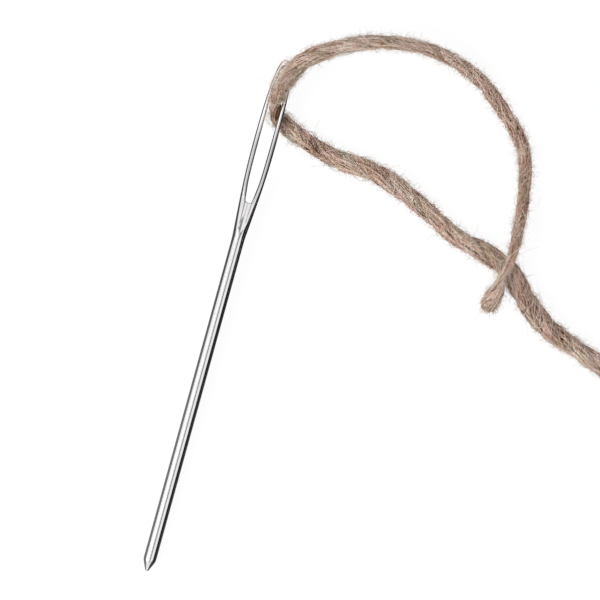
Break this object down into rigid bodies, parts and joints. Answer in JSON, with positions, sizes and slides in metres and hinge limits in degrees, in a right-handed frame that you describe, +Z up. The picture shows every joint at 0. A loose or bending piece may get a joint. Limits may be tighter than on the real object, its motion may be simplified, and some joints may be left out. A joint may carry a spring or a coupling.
{
  "type": "yarn needle with twine",
  "caption": "Blunt steel yarn needle with a long eye, threaded with loose two-ply jute twine whose far length is wound in a tied flat coil.",
  "frame": {"origin": "middle of the needle's length, on the surface that the needle's point and the twine rest on", "axes": "+Y along the needle from its point to its eye, +Z up from the surface, +X to the side where the twine leaves the eye"},
  "size_m": [0.1165, 0.1005, 0.0086],
  "materials": {
    "steel": "bright polished plate",
    "jute": "hairy two-ply twine, light tan with a pinkish cast",
    "cotton": "matt twisted thread"
  },
  "bodies": {
    "twine": {"twine_run": "jute", "twine_tail": "jute", "twine_coil": "jute", "coil_tie": "cotton"},
    "bight": {"twine_bight": "jute"},
    "needle": {"needle_shaft": "steel", "needle_throat": "steel", "eye_wire_right": "steel", "eye_wire_left": "steel", "eye_arch": "steel"}
  },
  "joints": [
    {"name": "needle_swing", "type": "hinge", "parent": "twine", "child": "bight", "pos_m": [0, 0.03838, 0], "axis": [0, 0, 1], "range_deg": [-40, 40]},
    {"name": "needle_slide", "type": "slide", "parent": "bight", "child": "needle", "axis": [0, 0.9994, 0.0353], "range_m": [-0.0013, 0.0125]}
  ]
}
